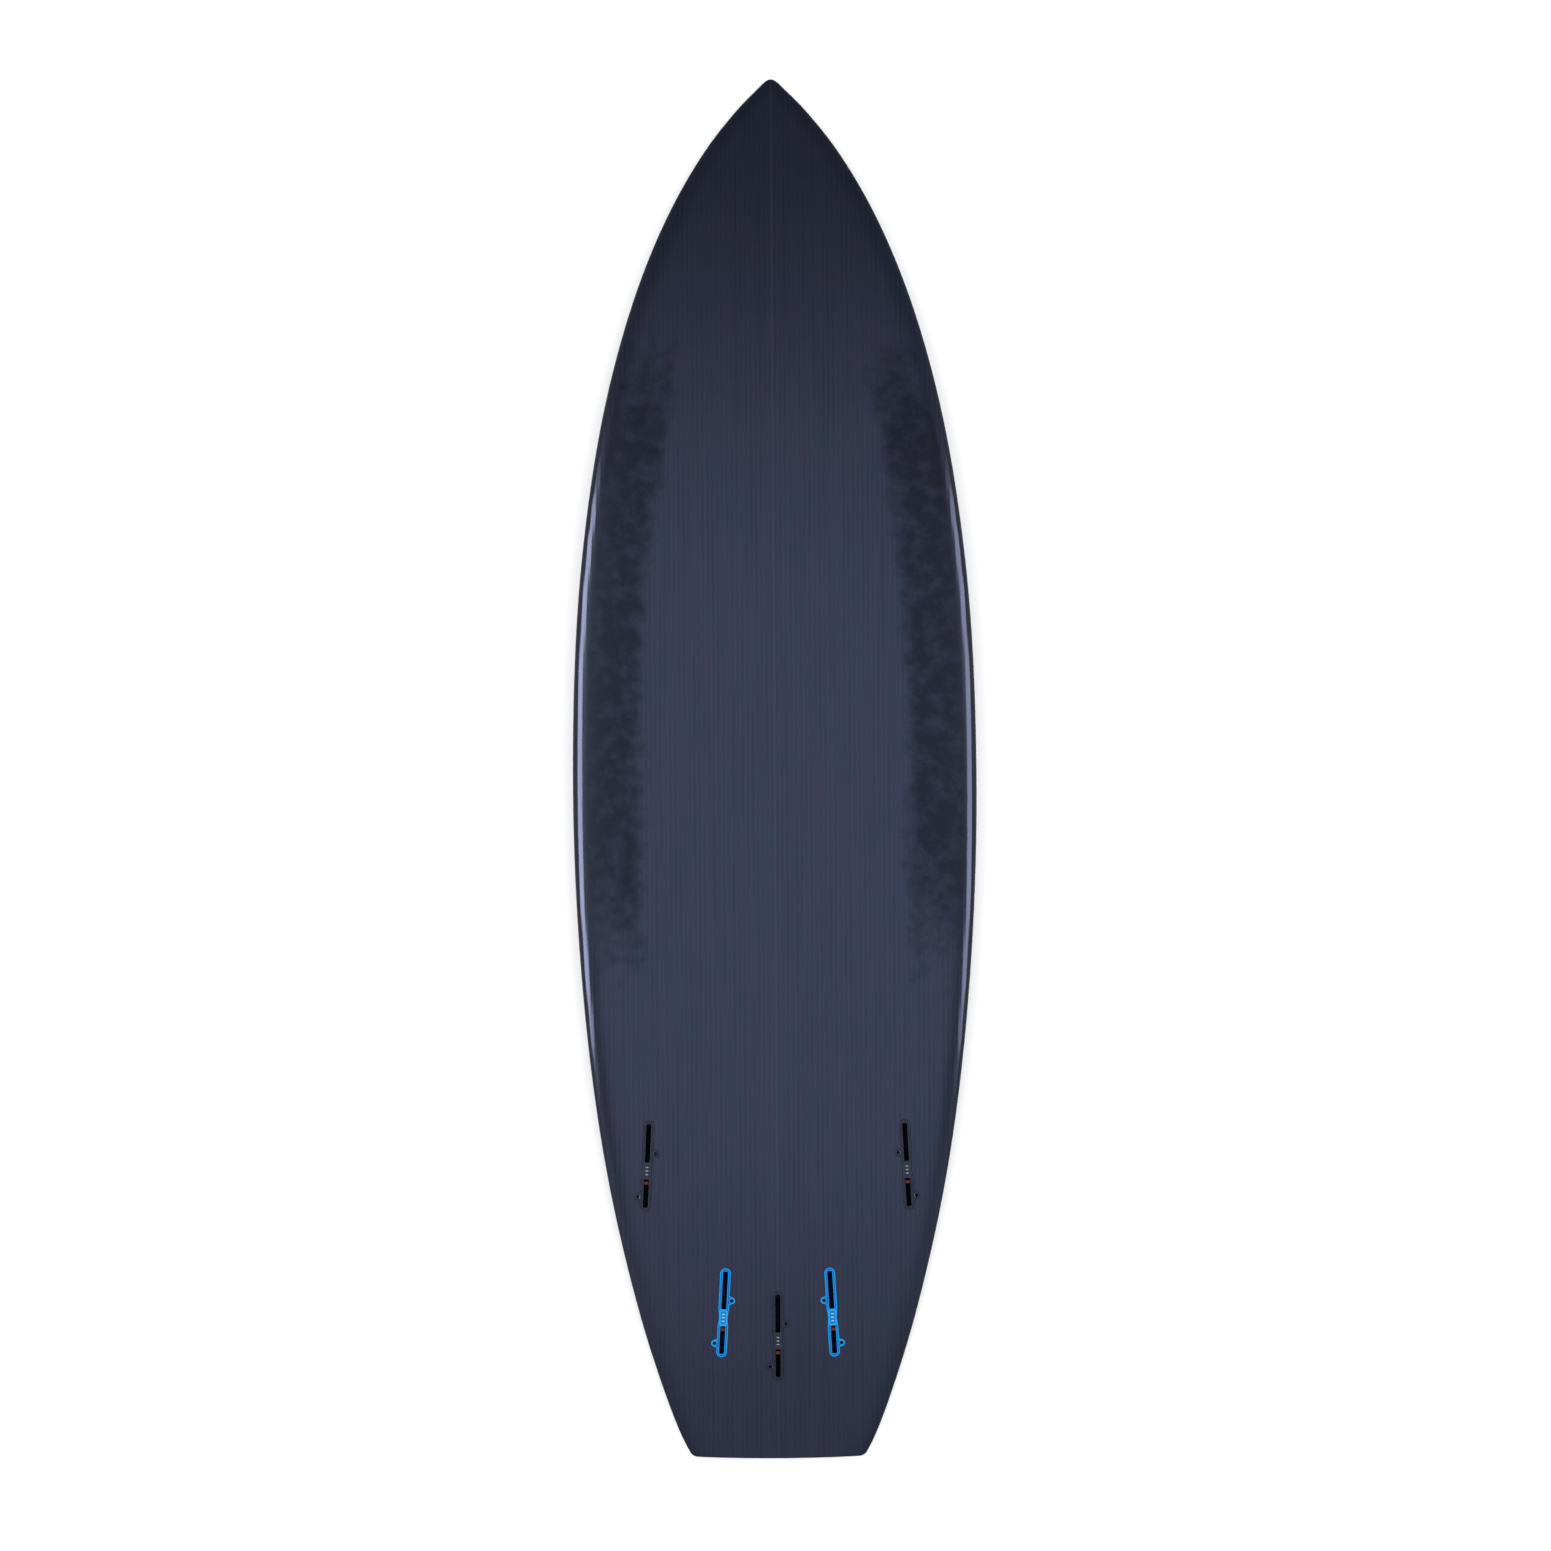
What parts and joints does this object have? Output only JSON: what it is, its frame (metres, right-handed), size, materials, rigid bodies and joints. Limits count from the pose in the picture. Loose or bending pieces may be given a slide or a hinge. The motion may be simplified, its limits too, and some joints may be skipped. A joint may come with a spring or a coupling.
{
  "type": "shortboard surfboard",
  "caption": "Shortboard surfboard with a pointed nose, a square tail, fin boxes for thruster or quad set-ups, grub screws, tab rollers and a deck leash cup; fins off.",
  "frame": {"origin": "on the surface that the board lies on, under the middle of its length and width", "axes": "the board lies deck down: +X is across it, +Y runs from the tail to the nose, +Z comes out of the bottom; left is -X and right is +X as seen looking at the bottom with the nose up"},
  "size_m": [0.5166, 1.778, 0.1117],
  "materials": {
    "bottom_laminate": "satin dark navy laminate with fine lengthwise ribs, glossier at the rails",
    "deck_laminate": "satin dark navy laminate",
    "foam": "closed-cell board foam",
    "stringer_wood": "raw thin plywood",
    "black_plastic": "satin moulded nylon",
    "blue_plastic": "satin azure moulded nylon",
    "steel": "stainless steel",
    "orange_rubber": "red-orange elastomer"
  },
  "bodies": {
    "board": {"bottom_skin": "bottom_laminate", "deck_skin": "deck_laminate", "stringer": "stringer_wood", "foam_core_left": "foam", "foam_core_right": "foam", "fin_box_left": "black_plastic", "fin_box_right": "black_plastic", "fin_box_quad_left": "blue_plastic", "fin_box_quad_right": "blue_plastic", "fin_box_centre": "black_plastic", "roller_pin_left": "steel", "roller_pin_right": "steel", "roller_pin_quad_left": "steel", "roller_pin_quad_right": "steel", "roller_pin_centre": "steel", "leash_cup": "black_plastic", "leash_bar": "steel"},
    "set_screw_left_front": {"set_screw_left_front": "steel"},
    "set_screw_left_rear": {"set_screw_left_rear": "steel"},
    "set_screw_right_front": {"set_screw_right_front": "steel"},
    "set_screw_right_rear": {"set_screw_right_rear": "steel"},
    "set_screw_quad_left_front": {"set_screw_quad_left_front": "steel"},
    "set_screw_quad_left_rear": {"set_screw_quad_left_rear": "steel"},
    "set_screw_quad_right_front": {"set_screw_quad_right_front": "steel"},
    "set_screw_quad_right_rear": {"set_screw_quad_right_rear": "steel"},
    "set_screw_centre_front": {"set_screw_centre_front": "steel"},
    "set_screw_centre_rear": {"set_screw_centre_rear": "steel"},
    "roller_left": {"roller_left": "orange_rubber"},
    "roller_right": {"roller_right": "orange_rubber"},
    "roller_quad_left": {"roller_quad_left": "orange_rubber"},
    "roller_quad_right": {"roller_quad_right": "orange_rubber"},
    "roller_centre": {"roller_centre": "orange_rubber"}
  },
  "joints": [
    {"name": "left_front_screw_travel", "type": "slide", "parent": "board", "child": "set_screw_left_front", "axis": [0.4943, -0.1218, 0.8607], "range_m": [-0.002, 0.006]},
    {"name": "left_rear_screw_travel", "type": "slide", "parent": "board", "child": "set_screw_left_rear", "axis": [-0.5043, -0.0695, 0.8607], "range_m": [-0.002, 0.006]},
    {"name": "right_front_screw_travel", "type": "slide", "parent": "board", "child": "set_screw_right_front", "axis": [-0.4943, -0.1218, 0.8607], "range_m": [-0.002, 0.006]},
    {"name": "right_rear_screw_travel", "type": "slide", "parent": "board", "child": "set_screw_right_rear", "axis": [0.5043, -0.0695, 0.8607], "range_m": [-0.002, 0.006]},
    {"name": "quad_left_front_screw_travel", "type": "slide", "parent": "board", "child": "set_screw_quad_left_front", "axis": [0.4923, -0.1475, 0.8578], "range_m": [-0.002, 0.006]},
    {"name": "quad_left_rear_screw_travel", "type": "slide", "parent": "board", "child": "set_screw_quad_left_rear", "axis": [-0.506, -0.09, 0.8578], "range_m": [-0.002, 0.006]},
    {"name": "quad_right_front_screw_travel", "type": "slide", "parent": "board", "child": "set_screw_quad_right_front", "axis": [-0.4923, -0.1475, 0.8578], "range_m": [-0.002, 0.006]},
    {"name": "quad_right_rear_screw_travel", "type": "slide", "parent": "board", "child": "set_screw_quad_right_rear", "axis": [0.506, -0.09, 0.8578], "range_m": [-0.002, 0.006]},
    {"name": "centre_front_screw_travel", "type": "slide", "parent": "board", "child": "set_screw_centre_front", "axis": [0.5, -0.1317, 0.856], "range_m": [-0.002, 0.006]},
    {"name": "centre_rear_screw_travel", "type": "slide", "parent": "board", "child": "set_screw_centre_rear", "axis": [-0.5, -0.1317, 0.856], "range_m": [-0.002, 0.006]},
    {"name": "left_roller_spin", "type": "hinge", "parent": "board", "child": "roller_left", "pos_m": [-0.16766, -0.53067, 0.06313], "axis": [0.9986, -0.0523, 0], "continuous": true},
    {"name": "right_roller_spin", "type": "hinge", "parent": "board", "child": "roller_right", "pos_m": [0.16766, -0.53067, 0.06313], "axis": [0.9986, 0.0523, 0], "continuous": true},
    {"name": "quad_left_roller_spin", "type": "hinge", "parent": "board", "child": "roller_quad_left", "pos_m": [-0.07106, -0.72092, 0.03695], "axis": [0.9983, -0.0576, 0], "continuous": true},
    {"name": "quad_right_roller_spin", "type": "hinge", "parent": "board", "child": "roller_quad_right", "pos_m": [0.07106, -0.72092, 0.03695], "axis": [0.9983, 0.0576, 0], "continuous": true},
    {"name": "centre_roller_spin", "type": "hinge", "parent": "board", "child": "roller_centre", "pos_m": [0, -0.75132, 0.03337], "axis": [1, 0, 0], "continuous": true}
  ]
}
